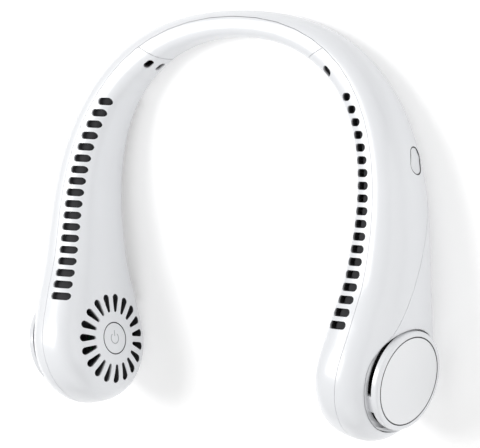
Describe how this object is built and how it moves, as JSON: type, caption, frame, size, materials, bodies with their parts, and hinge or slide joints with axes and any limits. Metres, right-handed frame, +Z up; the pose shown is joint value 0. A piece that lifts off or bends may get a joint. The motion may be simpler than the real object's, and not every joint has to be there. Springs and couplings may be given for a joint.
{
  "type": "electric neck fan",
  "caption": "Electric neck fan worn round the back of the neck, with a bladed fan in each end pod, slotted air outlets along both arms, a power button and a covered charging port",
  "frame": {"origin": "centre of the bounding box's base, on the surface that the fan lies on", "axes": "X across the neckband, from the left arm to the right arm as the picture shows them; Y from the pods towards the crown behind the neck; Z up from the surface"},
  "size_m": [0.1912, 0.1634, 0.0512],
  "materials": {
    "shell": "satin moulded white",
    "ring": "polished white",
    "disc": "flat pale grey",
    "button": "matt pale grey with a thin darker rim",
    "switch_plastic": "black moulded",
    "circuit_board": "green solder mask",
    "port_plug": "soft pale grey",
    "socket_steel": "drawn steel",
    "impeller": "black moulded",
    "shaft_steel": "ground steel",
    "magnet": "sintered magnet",
    "core_steel": "stacked steel sheet",
    "winding_copper": "enamelled copper wire",
    "bearing_bronze": "sintered bronze",
    "inner_plastic": "black moulded",
    "screw_steel": "plated steel",
    "cell_foil": "laminated foil pouch",
    "wire_rubber": "red wire insulation"
  },
  "bodies": {
    "neckband": {"outer_shell": "shell", "neck_cover": "shell", "left_inner_shell": "shell", "right_inner_shell": "shell", "left_side_cover": "shell", "right_side_cover": "shell", "left_intake_ring": "ring", "right_intake_ring": "ring", "left_disc": "disc", "right_disc": "disc", "switch_body": "switch_plastic", "control_board": "circuit_board", "charging_socket": "socket_steel", "charging_board": "circuit_board", "left_stator": "core_steel", "right_stator": "core_steel", "left_windings": "winding_copper", "right_windings": "winding_copper", "left_bearings": "bearing_bronze", "right_bearings": "bearing_bronze", "left_motor_mount": "inner_plastic", "right_motor_mount": "inner_plastic", "left_mount_screws": "screw_steel", "right_mount_screws": "screw_steel", "left_air_duct": "inner_plastic", "right_air_duct": "inner_plastic", "left_battery": "cell_foil", "right_battery": "cell_foil", "wire_harness": "wire_rubber"},
    "left_rotor": {"left_impeller": "impeller", "left_shaft": "shaft_steel", "left_magnet": "magnet"},
    "right_rotor": {"right_impeller": "impeller", "right_shaft": "shaft_steel", "right_magnet": "magnet"},
    "button": {"power_button": "button", "switch_plunger": "switch_plastic"},
    "plug": {"port_plug": "port_plug"}
  },
  "joints": [
    {"name": "left_fan", "type": "hinge", "parent": "neckband", "child": "left_rotor", "pos_m": [-0.07727, -0.05634, 0.02561], "axis": [-0.9863, -0.1634, 0.0241], "continuous": true},
    {"name": "right_fan", "type": "hinge", "parent": "neckband", "child": "right_rotor", "pos_m": [0.07727, -0.05634, 0.02561], "axis": [0.9863, -0.1634, 0.0241], "continuous": true},
    {"name": "button_press", "type": "slide", "parent": "neckband", "child": "button", "axis": [-0.9863, -0.1634, 0.0241], "range_m": [0, 0.0005], "stiffness_N_per_m": 1500},
    {"name": "plug_pull", "type": "slide", "parent": "neckband", "child": "plug", "axis": [0.9706, 0.238, -0.0351], "range_m": [0, 0.008]}
  ]
}
